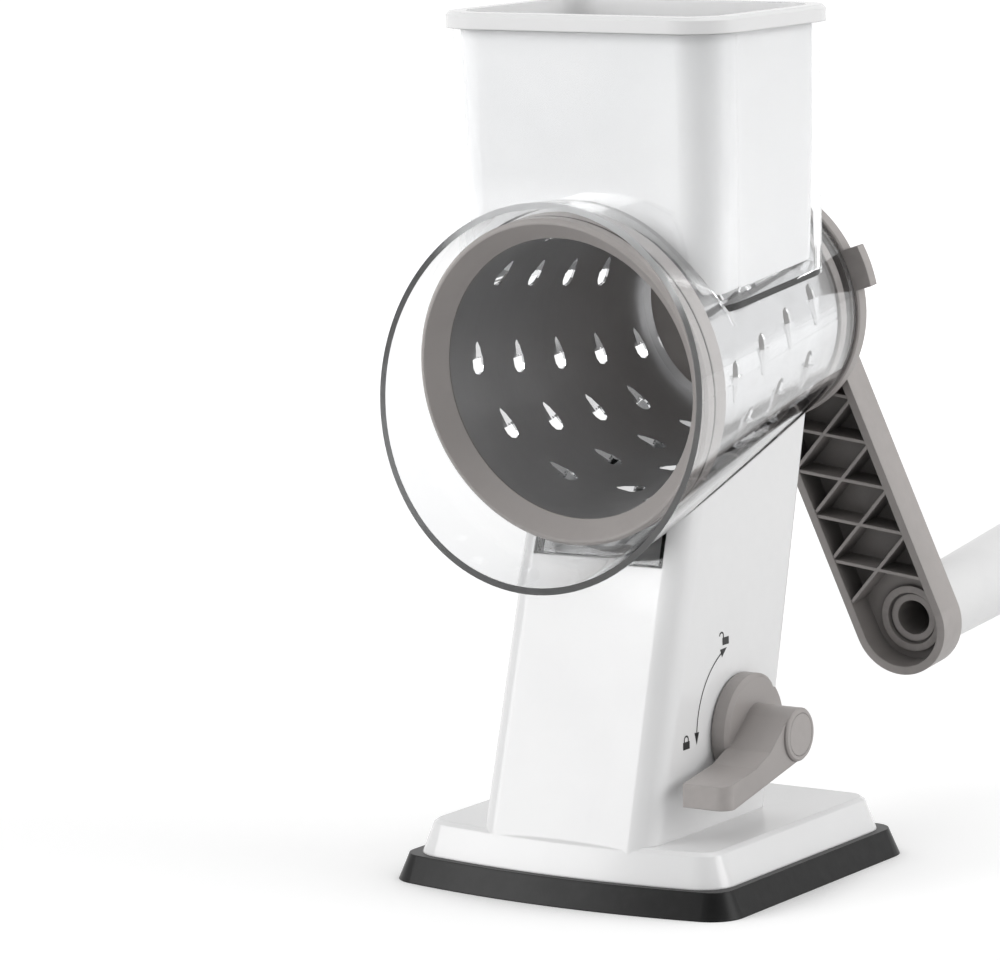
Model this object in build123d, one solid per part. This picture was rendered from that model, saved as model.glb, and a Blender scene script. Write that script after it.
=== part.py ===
from build123d import *
import os
from math import atan2, cos, degrees, pi, radians, sin

# Hand cranked rotary shredder on a suction foot.  Millimetres, +Z up.
# The origin lies on the table under the middle of the suction foot.
# -Y is the open mouth of the drum, +Y the crank side, +X the suction lever side.

# ---- Drum axis ----
drum_tilt = 6.23
rim_centre_y = -50.4
rim_centre_z = 174.9

# ---- Drum ----
rim_radius = 56.0
rim_length = 12.0
rim_groove_start = 4.6
rim_groove_width = 1.0
rim_groove_depth = 0.8
rim_mouth_radius = 54.2
rim_throat_radius = 48.2
rim_throat_start = 6.4
steel_front_radius = 49.9
steel_rear_radius = 39.3
steel_start = 6.9
steel_end = 117.0
steel_wall = 0.8
steel_lip = 4.0
hub_radius = 40.0
hub_thickness = 5.0
hub_edge = 1.0
shaft_width = 31.0
shaft_corner = 4.0
shaft_length = 27.0
shaft_wall = 3.2
shaft_window_width = 12.0
shaft_window_length = 6.5
shaft_window_from_end = 4.5

# ---- Teeth of the drum ----
tooth_rows = 12
tooth_per_row = 5
tooth_first = 22.9
tooth_pitch = 21.5
tooth_stagger = 5.3
tooth_stagger_rows = 4
tooth_seam_shift = 3.3
tooth_row_turn = -89.5
tooth_row_step = 29.1
tooth_twist = 0.24
tooth_hood_radius = 3.9
tooth_hood_length = 8.8
tooth_hood_rise = 1.7
tooth_hood_tip = 0.5
tooth_hood_wall = 0.7
tooth_hood_sides = 6
tooth_hole_radius = 2.7
tooth_hole_length = 2.8
tooth_hole_sides = 8

# ---- Clear housing ----
barrel_radius = 61.6
barrel_narrowing = 0.151
barrel_length = 126.0
barrel_wall = 2.2
mouth_centre_y = -63.25
mouth_centre_z = 172.34
mouth_lean = 6.09
chute_width = 109.6
chute_depth = 81.6
chute_middle_y = 1.5
chute_corner = 16.0
chute_wall = 2.0
chute_top = 291.0
chute_ledge = 22.0
rear_wall = 2.2
rear_bore_radius = 35.5
foot_wall = 2.0
foot_play = 0.6

# ---- Bearing cap behind the barrel ----
cap_radius = 43.7
cap_thickness = 6.2
cap_gap = 0.3
cap_tab_reach = 49.4
cap_tab_angle = 72.4
cap_tab_width = 14.8
cap_tab_thickness = 4.3
lug_count = 3
lug_reach = 3.2
lug_thickness = 1.4
lug_width = 14.0
lug_turn = 30.0

# ---- Crank ----
arm_angle = 21.0
arm_gap = 4.5
arm_thickness = 13.0
arm_half_width = 18.2
arm_length = 126.5
arm_rim = 3.0
arm_floor = 2.2
arm_hub_radius = 27.0
arm_rib_start = 27.5
arm_rib_pitch = 17.3
arm_rib_bays = 5
arm_rib_wall = 1.2
arm_rib_recess = 0.4
socket_play = 0.15
hub_cover_radius = 20.5
hub_cover_thickness = 2.0
grip_boss_radius = 9.5
grip_boss_height = 1.6
grip_boss_margin = 2.6
grip_boss_recess = 2.4

# ---- Grip ----
grip_near_radius = 13.2
grip_far_radius = 15.0
grip_length = 82.0
grip_gap = 0.8
grip_wall = 3.0
grip_round = 3.0
axle_radius = 8.7
axle_wall = 2.4
axle_sink = 1.6
axle_play = 0.06
grip_cap_thickness = 3.0

# ---- Pusher ----
pusher_play = 0.5
pusher_draft = 1.8
pusher_wall = 2.2
pusher_drum_gap = 3.2
pusher_ledge_gap = 3.0
flange_thickness = 5.5
flange_overhang = 2.2
flange_corner = 18.0
flange_lift = 0.3
flange_edge = 1.2

# ---- Stand ----
skirt_width = 136.0
skirt_depth = 132.4
skirt_height = 9.0
skirt_bevel = 23.0
skirt_corner = 12.0
skirt_bow = 7.6
plate_width = 123.0
plate_front = -59.6
plate_rear = 61.6
plate_bevel = 21.4
plate_top = 20.5
plate_corner = 12.0
plate_bow = 6.2
plate_wall = 3.0
plate_edge = 1.2
tower_foot_front = -54.2
tower_foot_rear = 22.2
tower_foot_width = 69.0
tower_front_lean = 0.285
tower_rear_lean = 0.255
tower_top_width = 66.8
tower_top = 160.0
tower_front_corner = 8.5
tower_rear_corner = 2.0
tower_wall = 3.0
tower_root = 8.0
pocket_half_width = 25.6
pocket_floor = 111.0
pocket_rear_wall = 3.6
saddle_gap = 0.4

# ---- Suction lock ----
lever_y = 6.4
lever_z = 51.0
lever_travel = 75.0
dial_gap = 0.4
dial_radius = 19.4
dial_thickness = 6.2
boss_radius = 9.2
boss_length = 23.7
boss_cap_radius = 7.4
boss_cap_thickness = 0.8
finger_arm_setback = 1.2
finger_arm_reach = 46.9
finger_arm_drop = 18.0
finger_arm_thickness = 8.0
finger_arm_corner = 4.5
cam_shaft_radius = 4.0
cam_shaft_end = -17.0
cam_radius = 8.0
cam_eccentricity = 3.285
cam_width = 9.0
yoke_play = 0.3
yoke_frame = 3.0
yoke_depth = 10.0
stem_radius = 5.0
stem_fit = 0.06
stem_pad_radius = 15.0
stem_pad_thickness = 2.0
membrane_radius = 46.7
membrane_edge = 4.0
membrane_wall = 1.2
membrane_low = 1.0
membrane_rise = 4.0
cover_thickness = 2.5
cover_gap = 0.3
bracket_thickness = 4.0
bracket_width = 20.0

# Length beyond every part, for cutting tools
beyond = 400.0

tilt = radians(drum_tilt)
along = Vector(0, cos(tilt), sin(tilt))
above = Vector(0, -sin(tilt), cos(tilt))
rightward = Vector(1, 0, 0)
rim_centre = Vector(0, rim_centre_y, rim_centre_z)
drum_axis = Axis(rim_centre, along)
cap_start = barrel_length + cap_gap
cap_end = cap_start + cap_thickness
arm_start = cap_end + arm_gap
arm_end = arm_start + arm_thickness
hub_end = steel_end + hub_thickness
shaft_end = hub_end + shaft_length


def at(distance):
    """Point on the drum axis this far behind the front face of the drum rim."""
    return rim_centre + along * distance


def square_to_axis(distance, turn=0.0):
    """Plane square to the drum axis: x points up (turned toward +X), z points rearward."""
    angle = radians(turn)
    return Plane(at(distance), x_dir=above * cos(angle) + rightward * sin(angle), z_dir=along)


def turned(*points):
    """Solid of revolution about the drum axis from (distance, radius) points."""
    profile = Plane(rim_centre, x_dir=along, z_dir=-above) * Polygon(*points, align=None)
    return revolve(profile, drum_axis)


def steel_radius(distance):
    """Outer radius of the steel cone at a distance behind the rim."""
    share = (distance - steel_start) / (steel_end - steel_start)
    return steel_front_radius + (steel_rear_radius - steel_front_radius) * share


def barrel_outside(distance):
    """Outer radius of the clear barrel at a distance behind the rim."""
    return barrel_radius - barrel_narrowing * distance


def cone(start, end, radius_at, change=0.0):
    """Solid cone about the drum axis whose radius follows radius_at plus a change."""
    return turned((start, 0), (end, 0), (end, radius_at(end) + change), (start, radius_at(start) + change))


def rounded_slab(width, front, rear, corner, low, high):
    """Upright slab with rounded corners between a front and a rear face."""
    outline = RectangleRounded(width, rear - front, corner)
    return extrude(Pos(0, (front + rear) / 2, low) * outline, high - low)


def bowed_outline(width, front, rear, bow, corner, height):
    """Rounded rectangle whose front edge bows toward -Y."""
    left_front = (-width / 2, front + bow)
    right_front = (width / 2, front + bow)
    arc = ThreePointArc(left_front, (0, front), right_front)
    sides = Polyline(right_front, (width / 2, rear), (-width / 2, rear), left_front)
    face = make_face(arc + sides)
    return Pos(0, 0, height) * fillet(face.vertices(), corner)


# ---- Drum parts ----
def drum_rim():
    """Moulded ring round the open end of the drum with a funnel mouth and a groove."""
    groove_end = rim_groove_start + rim_groove_width
    ring = turned(
        (0, rim_radius - 1),
        (1, rim_radius),
        (rim_groove_start, rim_radius),
        (rim_groove_start, rim_radius - rim_groove_depth),
        (groove_end, rim_radius - rim_groove_depth),
        (groove_end, rim_radius),
        (rim_length, rim_radius),
        (rim_length, rim_throat_radius),
        (rim_throat_start, rim_throat_radius),
        (0, rim_mouth_radius),
    )
    return ring - cone(steel_start, steel_end, steel_radius)


def tooth_frame(distance, turn):
    """Frame on the steel: x along the tooth toward its tip, y along the drum, z outward."""
    angle = radians(turn)
    outward = above * cos(angle) + rightward * sin(angle)
    tangent = rightward * cos(angle) - above * sin(angle)
    return Plane(at(distance) + outward * steel_radius(distance), x_dir=tangent, z_dir=outward)


def tooth_hood(frame, shrink):
    """Many sided hood of a tooth: its mouth faces -x and its point lies on the steel."""
    flat_share = cos(pi / tooth_hood_sides)
    sink = tooth_hood_rise - tooth_hood_radius * flat_share
    slope = atan2(-tooth_hood_tip - sink, tooth_hood_length)
    mouth = Plane((-shrink, 0, sink), x_dir=(0, 1, 0), z_dir=(cos(slope), 0, sin(slope)))
    outline = RegularPolygon(tooth_hood_radius - shrink, tooth_hood_sides)
    narrowing = (tooth_hood_radius - tooth_hood_tip) * flat_share
    taper = degrees(atan2(narrowing, tooth_hood_length))
    return frame.location * extrude(mouth * outline, tooth_hood_length, taper=taper)


def tooth_hole(frame):
    """Hole in the steel in front of a tooth's hood, with a round end."""
    overlap = steel_wall / 2
    round_end = Pos(-tooth_hole_length, 0) * RegularPolygon(tooth_hole_radius, tooth_hole_sides)
    straight = Rectangle(tooth_hole_length + overlap, 2 * tooth_hole_radius)
    outline = round_end + Pos((overlap - tooth_hole_length) / 2, 0) * straight
    depth = tooth_hood_radius + steel_wall
    cutter = extrude(Pos(0, 0, -depth) * outline, depth + overlap)
    return frame.location * cutter


def tooth_places():
    """Distance and turn of every tooth: staggered rows that twist, with a seam after the last row."""
    places = []
    for row in range(tooth_rows):
        before_seam = row == tooth_rows - 1
        shift = tooth_seam_shift if before_seam else tooth_stagger * (row % tooth_stagger_rows)
        for index in range(tooth_per_row):
            distance = tooth_first + shift + index * tooth_pitch
            if distance < steel_end - tooth_hood_radius - 1:
                turn = tooth_row_turn - row * tooth_row_step - tooth_twist * (distance - tooth_first)
                places.append((distance, turn))
    return places


def drum_cone():
    """Tapered steel drum with raised teardrop teeth and an inward lip at its small end."""
    frames = [tooth_frame(distance, turn) for distance, turn in tooth_places()]
    body = cone(steel_start, steel_end, steel_radius)
    body = body + [tooth_hood(frame, 0) for frame in frames]
    inside = cone(steel_start - 1, steel_end - steel_wall, steel_radius, -steel_wall)
    body = body - inside
    lip_radius = steel_radius(steel_end) - steel_lip
    body = body - turned((steel_end - 5, 0), (steel_end + 1, 0), (steel_end + 1, lip_radius), (steel_end - 5, lip_radius))
    cutters = [tooth_hood(frame, tooth_hood_wall) for frame in frames]
    cutters = cutters + [tooth_hole(frame) for frame in frames]
    return body - cutters


def drum_hub():
    """Moulded end of the drum: stepped disc with a hollow square shaft and a window in it."""
    lip_radius = steel_radius(steel_end) - steel_lip
    hub = turned(
        (steel_end - steel_wall, 0),
        (steel_end - steel_wall, lip_radius),
        (steel_end, lip_radius),
        (steel_end, hub_radius),
        (hub_end - hub_edge, hub_radius),
        (hub_end, hub_radius - hub_edge),
        (hub_end, 0),
    )
    outline = RectangleRounded(shaft_width, shaft_width, shaft_corner)
    hub = hub + extrude(square_to_axis(hub_end - 1) * outline, shaft_length + 1)
    inner = shaft_width - 2 * shaft_wall
    bore = RectangleRounded(inner, inner, shaft_corner - 2)
    hub = hub - extrude(square_to_axis(steel_end + 2) * bore, shaft_end - steel_end)
    window_middle = shaft_end - shaft_window_from_end - shaft_window_length / 2
    window = Box(2 * shaft_width, shaft_window_width, shaft_window_length)
    return hub - square_to_axis(window_middle).location * window


# ---- Clear housing ----
def mouth_cutter():
    """Block in front of the leaning mouth plane of the barrel."""
    lean = radians(mouth_lean)
    facing = Vector(0, -cos(lean), sin(lean))
    plane = Plane((0, mouth_centre_y, mouth_centre_z), x_dir=rightward, z_dir=facing)
    return extrude(plane * Rectangle(beyond, beyond), beyond)


def under_ledge(ledge):
    """Block under a plane that lies parallel to the drum axis, this far above it."""
    plane = Plane(at(0) + above * ledge, x_dir=rightward, z_dir=-above)
    return extrude(plane * Rectangle(beyond, beyond), beyond)


def chute_solid(width, front, rear, corner, ledge, top):
    """Upright chute block whose underside lies parallel to the drum axis."""
    return rounded_slab(width, front, rear, corner, rim_centre_z, top) - under_ledge(ledge)


def foot_block(inset):
    """Block under the barrel that fills the pocket of the tower."""
    half = pocket_half_width - foot_play - inset
    low = pocket_floor + cap_gap
    front_low = tower_front(low) + foot_play + inset
    rear_low = tower_rear(low) - pocket_rear_wall - foot_play - inset
    front_high = tower_front(tower_top) + foot_play + inset
    rear_high = tower_rear(tower_top) - pocket_rear_wall - foot_play - inset
    points = [(front_low, low), (rear_low, low), (rear_high, tower_top), (front_high, tower_top)]
    side = Plane.YZ * Polygon(*points, align=None)
    return extrude(side, half, both=True)


def clear_housing():
    """Barrel, square chute and hollow foot moulded as one clear shell."""
    front = chute_middle_y - chute_depth / 2
    rear = chute_middle_y + chute_depth / 2
    barrel = cone(-30, barrel_length, barrel_outside)
    shell = barrel + chute_solid(chute_width, front, rear, chute_corner, chute_ledge, chute_top)
    shell = shell + (foot_block(0) - foot_block(foot_wall) - barrel)
    inside = cone(-31, barrel_length - rear_wall, barrel_outside, -barrel_wall)
    chute_inside = chute_solid(
        chute_width - 2 * chute_wall,
        front + chute_wall,
        rear - chute_wall,
        chute_corner - chute_wall,
        chute_ledge + chute_wall,
        chute_top + 1,
    )
    shell = shell - inside - chute_inside - mouth_cutter()
    bore = turned((barrel_length - 10, 0), (barrel_length + 1, 0), (barrel_length + 1, rear_bore_radius),
                  (barrel_length - 10, rear_bore_radius))
    return shell - bore - lug_blocks(lug_turn, 1.0, rear_wall + 2, barrel_length - rear_wall - 1)


# ---- Bearing cap ----
def lug_blocks(turn, play, thickness, start):
    """Bayonet lugs spread round the spigot, used for the lugs and for their notches."""
    reach = rear_bore_radius - cap_gap + lug_reach + play - cap_gap
    blocks = []
    for index in range(lug_count):
        frame = square_to_axis(start, turn + index * 360 / lug_count)
        outline = Pos(reach / 2, 0) * Rectangle(reach, lug_width + 2 * play)
        blocks.append(extrude(frame * outline, thickness))
    return Part() + blocks


def bearing_cap():
    """Grey cap that closes the barrel, carries the crank hub and turns on bayonet lugs."""
    spigot_radius = rear_bore_radius - cap_gap
    lug_start = barrel_length - rear_wall - cap_gap - lug_thickness
    cap = turned(
        (cap_start, 0),
        (cap_start, cap_radius - 0.6),
        (cap_start + 0.6, cap_radius),
        (cap_end - 1.2, cap_radius),
        (cap_end, cap_radius - 1.2),
        (cap_end, 0),
    )
    spigot = turned((lug_start, 0), (cap_start + 1, 0), (cap_start + 1, spigot_radius), (lug_start, spigot_radius))
    tab_depth = cap_tab_reach - cap_radius + 4
    tab_outline = Pos(cap_tab_reach - tab_depth / 2, 0) * Rectangle(tab_depth, cap_tab_width)
    tab_outline = tab_outline & Circle(cap_tab_reach)
    tab = extrude(square_to_axis(cap_start, cap_tab_angle) * tab_outline, cap_tab_thickness)
    cap = cap + spigot + tab + lug_blocks(0, 0, lug_thickness, lug_start)
    bore_radius = arm_hub_radius + axle_play
    return cap - turned((lug_start - 1, 0), (cap_end + 1, 0), (cap_end + 1, bore_radius), (lug_start - 1, bore_radius))


# ---- Crank ----
def arm_plane(distance):
    """Plane square to the drum axis with x along the crank arm."""
    return square_to_axis(distance, 180 - arm_angle)


def arm_outline(inset):
    """Long round ended outline of the crank arm, from the hub to the grip."""
    slot = SlotCenterToCenter(arm_length, 2 * (arm_half_width - inset))
    return Pos(arm_length / 2, 0) * slot


def rib_lattice():
    """Crossed ribs between the two side walls of the arm."""
    half = arm_half_width - arm_rim / 2
    ribs = Sketch()
    for bay in range(arm_rib_bays):
        start = arm_rib_start + bay * arm_rib_pitch
        end = start + arm_rib_pitch
        for side in (-half, half):
            spine = Polyline((start, side), (end, -side))
            ribs = ribs + trace(spine, arm_rib_wall)
    return ribs


def crank_arm():
    """Ribbed crank arm with the hub that turns in the bearing cap and drives the drum."""
    hub_start = hub_end + cap_gap
    floor_start = arm_end - arm_floor
    arm = extrude(arm_plane(arm_start) * arm_outline(0), arm_thickness)
    arm = arm - extrude(arm_plane(arm_start) * arm_outline(arm_rim), floor_start - arm_start)
    ribs = extrude(arm_plane(arm_start + arm_rib_recess) * rib_lattice(), floor_start - arm_start)
    arm = arm + ribs
    hub = turned((hub_start, 0), (arm_end, 0), (arm_end, arm_hub_radius), (hub_start, arm_hub_radius))
    boss_plane = arm_plane(floor_start - grip_boss_height)
    boss = extrude(boss_plane * Pos(arm_length, 0) * Circle(grip_boss_radius + grip_boss_margin), grip_boss_height)
    recess = extrude(boss_plane * Pos(arm_length, 0) * Circle(grip_boss_radius), grip_boss_recess)
    socket_width = shaft_width + 2 * socket_play
    socket = RectangleRounded(socket_width, socket_width, shaft_corner)
    body = arm + hub + boss - recess
    body = body - extrude(square_to_axis(hub_start - 1) * socket, shaft_end + cap_gap - hub_start + 1)
    cover_seat = Circle(hub_cover_radius)
    body = body - extrude(square_to_axis(arm_end - hub_cover_thickness / 2) * cover_seat, 5)
    return body - extrude(arm_plane(arm_start) * Pos(arm_length, 0) * Circle(axle_radius), 30)


def hub_cover():
    """Round cover pressed into the back of the crank hub."""
    start = arm_end - hub_cover_thickness / 2
    end = start + hub_cover_thickness
    return turned((start, 0), (start, hub_cover_radius), (end - 0.6, hub_cover_radius), (end, hub_cover_radius - 0.6),
                  (end, 0))


def grip_turned(*points):
    """Solid of revolution about the grip axis from (distance, radius) points."""
    frame = arm_plane(0)
    centre = frame.origin + frame.x_dir * arm_length
    profile = Plane(centre, x_dir=along, z_dir=frame.x_dir.cross(along)) * Polygon(*points, align=None)
    return revolve(profile, Axis(centre, along))


def grip_axle():
    """Hollow axle fixed in the crank arm that the grip turns on."""
    start = arm_end - arm_floor - grip_boss_height + axle_sink
    end = arm_end + grip_gap + grip_length - grip_cap_thickness - 6
    inner = axle_radius - axle_wall
    return grip_turned((start, inner), (start, axle_radius), (end, axle_radius), (end, inner))


def handle_grip():
    """Free turning grip, a little wider toward its far end."""
    start = arm_end + grip_gap
    end = start + grip_length
    bore = axle_radius + axle_play
    cap_seat = grip_far_radius - grip_wall
    return grip_turned(
        (start, bore),
        (start, grip_near_radius - 1.0),
        (start + 1.0, grip_near_radius),
        (end - grip_round, grip_far_radius),
        (end - grip_round / 3, grip_far_radius - grip_round / 3),
        (end, grip_far_radius - grip_round),
        (end, cap_seat),
        (end - grip_cap_thickness, cap_seat),
        (end - grip_cap_thickness, bore),
    )


def grip_cap():
    """Plug that closes the far end of the grip."""
    end = arm_end + grip_gap + grip_length
    start = end - grip_cap_thickness
    radius = grip_far_radius - grip_wall
    return grip_turned((start, 0), (start, radius), (end - 0.4, radius), (end, radius - 0.4), (end, 0))


# ---- Pusher ----
def pusher_solid(inset, floor_lift):
    """Pusher block with the hollow of the drum cut into its underside."""
    play = chute_wall + pusher_play + inset
    width = chute_width - 2 * play
    front = chute_middle_y - chute_depth / 2 + play
    rear = chute_middle_y + chute_depth / 2 - play
    ledge = chute_ledge + chute_wall + pusher_ledge_gap + floor_lift
    top = chute_top + flange_lift + flange_thickness
    outline = Pos(0, (front + rear) / 2, top) * RectangleRounded(width, rear - front, chute_corner - play)
    block = extrude(outline, top - rim_centre_z, dir=(0, 0, -1), taper=pusher_draft)
    block = block - under_ledge(ledge)
    return block - cone(-20, steel_end + 20, steel_radius, pusher_drum_gap + floor_lift)


def pusher():
    """Hollow food pusher with a rim that rests on the chute."""
    flange_width = chute_width + 2 * flange_overhang
    flange_front = chute_middle_y - chute_depth / 2 - flange_overhang
    flange_rear = chute_middle_y + chute_depth / 2 + flange_overhang
    low = chute_top + flange_lift
    flange = rounded_slab(flange_width, flange_front, flange_rear, flange_corner, low, low + flange_thickness)
    flange = chamfer(flange.edges().group_by(Axis.Z)[-1], flange_edge)
    return flange + pusher_solid(0, 0) - pusher_solid(pusher_wall, pusher_wall)


# ---- Stand ----
def tower_front(height):
    """Y of the tower's front face at a height."""
    return tower_foot_front + tower_front_lean * (height - plate_top)


def tower_rear(height):
    """Y of the tower's rear face at a height."""
    return tower_foot_rear + tower_rear_lean * (height - plate_top)


def tower_half_width(height):
    """Half the width of the tower at a height."""
    narrowing = (tower_foot_width - tower_top_width) / 2 / (tower_top - plate_top)
    return tower_foot_width / 2 - narrowing * (height - plate_top)


def tower_solid(inset, low, high):
    """Leaning tower that narrows toward its top, with wide round corners in front."""
    side_points = [
        (tower_front(low) + inset, low),
        (tower_rear(low) - inset, low),
        (tower_rear(high) - inset, high),
        (tower_front(high) + inset, high),
    ]
    half_low = tower_half_width(low) - inset
    half_high = tower_half_width(high) - inset
    front_points = [(-half_low, low), (half_low, low), (half_high, high), (-half_high, high)]
    leaning = extrude(Plane.YZ * Polygon(*side_points, align=None), half_low, both=True)
    tower = leaning & extrude(Plane.XZ * Polygon(*front_points, align=None), beyond, both=True)
    front_edges = tower.faces().sort_by(Axis.Y)[0].edges().sort_by(Axis.X)
    tower = fillet([front_edges[0], front_edges[-1]], tower_front_corner - inset)
    rear_edges = tower.faces().sort_by(Axis.Y)[-1].edges().sort_by(Axis.X)
    return fillet([rear_edges[0], rear_edges[-1]], tower_rear_corner)


def plate_solid(inset, thickness):
    """Bevelled base plate with a bowed front."""
    front = plate_front + inset
    rear = plate_rear - inset
    outline = bowed_outline(plate_width - 2 * inset, front, rear, plate_bow, plate_corner - inset, skirt_height)
    return extrude(outline, thickness, taper=plate_bevel)


def stand_shell():
    """White base plate and tower in one piece with the saddle for the barrel."""
    plate_thickness = plate_top - skirt_height
    plate = plate_solid(0, plate_thickness)
    plate = chamfer(plate.edges().group_by(Axis.Z)[-1], plate_edge)
    shell = plate + tower_solid(0, plate_top - tower_root, tower_top)
    shell = shell - plate_solid(plate_wall, plate_thickness - plate_wall)
    shell = shell - tower_solid(tower_wall, plate_top - plate_wall - 1, pocket_floor - tower_wall)
    pocket_top = tower_top + 5
    pocket_outline = Polygon(
        (-beyond, pocket_floor),
        (tower_rear(pocket_floor) - pocket_rear_wall, pocket_floor),
        (tower_rear(pocket_top) - pocket_rear_wall, pocket_top),
        (-beyond, pocket_top),
        align=None,
    )
    pocket = extrude(Plane.YZ * pocket_outline, pocket_half_width, both=True)
    shell = shell - pocket - cone(-30, barrel_length + 20, barrel_outside, saddle_gap)
    bore = Plane(Vector(0, lever_y, lever_z), x_dir=(0, 1, 0), z_dir=(1, 0, 0))
    return shell - extrude(bore * Circle(cam_shaft_radius + axle_play), 60)


def suction_skirt():
    """Black rubber skirt under the plate, open round the suction membrane."""
    low = bowed_outline(skirt_width, -skirt_depth / 2, skirt_depth / 2, skirt_bow, skirt_corner, 0)
    ring = extrude(low, skirt_height, taper=skirt_bevel)
    return ring - Pos(0, lever_y, 0) * Cylinder(membrane_radius + cap_gap, beyond)


def bottom_cover():
    """Cover that closes the base plate from below and guides the suction stem."""
    cover = plate_solid(plate_wall + cover_gap, cover_thickness)
    hole = Pos(0, lever_y, 0) * Cylinder(stem_radius + stem_fit, 100)
    return cover - hole


def cam_bracket():
    """Post inside the tower that carries the inner end of the cam shaft."""
    low = skirt_height + cover_thickness
    high = lever_z + bracket_width / 2
    face = Pos(lever_y, (low + high) / 2) * Rectangle(bracket_width, high - low)
    plane = Plane((cam_shaft_end, 0, 0), x_dir=(0, 1, 0), z_dir=(1, 0, 0))
    post = extrude(plane * face, bracket_thickness)
    post = post + extrude(plane * Pos(lever_y, low + 2) * Rectangle(bracket_width, 4), bracket_thickness * 2)
    return post - extrude(plane * Pos(lever_y, lever_z) * Circle(cam_shaft_radius + axle_play), 60)


# ---- Suction lock ----
dial_start = tower_half_width(lever_z - dial_radius) + dial_gap
boss_end = dial_start + boss_length


def lever_plane(x):
    """Upright plane square to the lever's axis, x toward +Y and y up."""
    return Plane((x, 0, 0), x_dir=(0, 1, 0), z_dir=(1, 0, 0))


def lever_handle():
    """Round dial with a boss and a broad finger arm that points forward and down."""
    centre = Pos(lever_y, lever_z)
    dial = extrude(lever_plane(dial_start) * centre * Circle(dial_radius), dial_thickness)
    dial = chamfer(dial.edges().group_by(Axis.X)[-1], 1.4)
    boss = extrude(lever_plane(dial_start + 1) * centre * Circle(boss_radius), boss_end - dial_start - 1)
    boss = chamfer(boss.edges().group_by(Axis.X)[-1], 0.6)
    tip_y = lever_y - finger_arm_reach
    tip_low = lever_z - finger_arm_drop
    tip_high = tip_low + finger_arm_thickness
    on_boss = boss_radius * sin(radians(45))
    outline = Polygon(
        (tip_y, tip_low),
        (tip_y + boss_radius / 2, tip_low),
        (lever_y, lever_z - boss_radius),
        (lever_y, lever_z + on_boss),
        (lever_y - on_boss, lever_z + on_boss),
        (lever_y - 2 * boss_radius, lever_z - boss_radius / 3),
        (lever_y - 3 * boss_radius, tip_high + boss_radius / 3),
        (tip_y, tip_high),
        align=None,
    )
    arm_inner = dial_start + dial_thickness - 1
    arm_outer = boss_end - finger_arm_setback
    arm = extrude(lever_plane(arm_inner) * outline, arm_outer - arm_inner)
    tip_edge = arm.edges().filter_by(Axis.Z).group_by(Axis.Y)[0].sort_by(Axis.X)[-1]
    arm = fillet(tip_edge, finger_arm_corner)
    notch_turn = radians(48)
    notch = Pos(lever_y + (dial_radius + 1.6) * cos(notch_turn), lever_z + (dial_radius + 1.6) * sin(notch_turn))
    handle = dial + boss + arm
    handle = handle - extrude(lever_plane(dial_start + 2) * notch * Circle(3.6), 20)
    return handle - extrude(lever_plane(boss_end - boss_cap_thickness) * centre * Circle(boss_cap_radius), 5)


def lever_cap():
    """Thin cap set into the end of the lever's boss."""
    centre = Pos(lever_y, lever_z)
    return extrude(lever_plane(boss_end - boss_cap_thickness) * centre * Circle(boss_cap_radius - 0.1), boss_cap_thickness)


def lever_cam():
    """Cam shaft with the eccentric disc that lifts the suction stem."""
    centre = Pos(lever_y, lever_z)
    shaft_length_inside = dial_start - cam_shaft_end
    shaft = extrude(lever_plane(cam_shaft_end) * centre * Circle(cam_shaft_radius), shaft_length_inside)
    lift = radians(lever_travel / 2)
    offset = Pos(lever_y + cam_eccentricity * cos(lift), lever_z + cam_eccentricity * sin(lift))
    disc = extrude(lever_plane(-cam_width / 2) * offset * Circle(cam_radius), cam_width)
    return shaft + disc


def stem_yoke():
    """Yoke round the cam with the stem and the pad that pull the membrane up."""
    lift = radians(lever_travel / 2)
    middle_z = lever_z + cam_eccentricity * sin(lift)
    window_height = 2 * (cam_radius + yoke_play)
    window_width = 2 * (cam_radius + cam_eccentricity + yoke_play)
    outer = Rectangle(window_width + 2 * yoke_frame, window_height + 2 * yoke_frame)
    frame = Pos(lever_y, middle_z) * (outer - Rectangle(window_width, window_height))
    yoke = extrude(lever_plane(-yoke_depth / 2) * frame, yoke_depth)
    pad_low = membrane_low + membrane_wall + membrane_rise
    yoke_low = middle_z - window_height / 2 - yoke_frame
    align = (Align.CENTER, Align.CENTER, Align.MIN)
    stem = Pos(0, lever_y, pad_low) * Cylinder(stem_radius, yoke_low - pad_low + 1, align=align)
    pad = Pos(0, lever_y, pad_low) * Cylinder(stem_pad_radius, stem_pad_thickness, align=align)
    return yoke + stem + pad


def suction_membrane():
    """Rubber membrane under the foot, drawn up in the middle while the lever is locked."""
    edge = membrane_radius - membrane_edge
    top = membrane_low + membrane_rise
    points = [
        (0, top),
        (stem_pad_radius, top),
        (edge, membrane_low),
        (membrane_radius, membrane_low),
        (membrane_radius, membrane_low + membrane_wall),
        (edge, membrane_low + membrane_wall),
        (stem_pad_radius, top + membrane_wall),
        (0, top + membrane_wall),
    ]
    profile = Plane((0, lever_y, 0), x_dir=(1, 0, 0), z_dir=(0, -1, 0)) * Polygon(*points, align=None)
    return revolve(profile, Axis((0, lever_y, 0), (0, 0, 1)))


makers = [
    stand_shell,
    suction_skirt,
    bottom_cover,
    cam_bracket,
    lever_handle,
    lever_cap,
    lever_cam,
    stem_yoke,
    suction_membrane,
    clear_housing,
    bearing_cap,
    crank_arm,
    hub_cover,
    grip_axle,
    handle_grip,
    grip_cap,
    drum_rim,
    drum_cone,
    drum_hub,
    pusher,
]

os.makedirs("parts", exist_ok=True)
for maker in makers:
    export_step(maker(), f"parts/{maker.__name__}.step")
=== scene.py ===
"""Looks of the hand cranked rotary shredder: finishes, fine details, studio and camera."""

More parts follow.
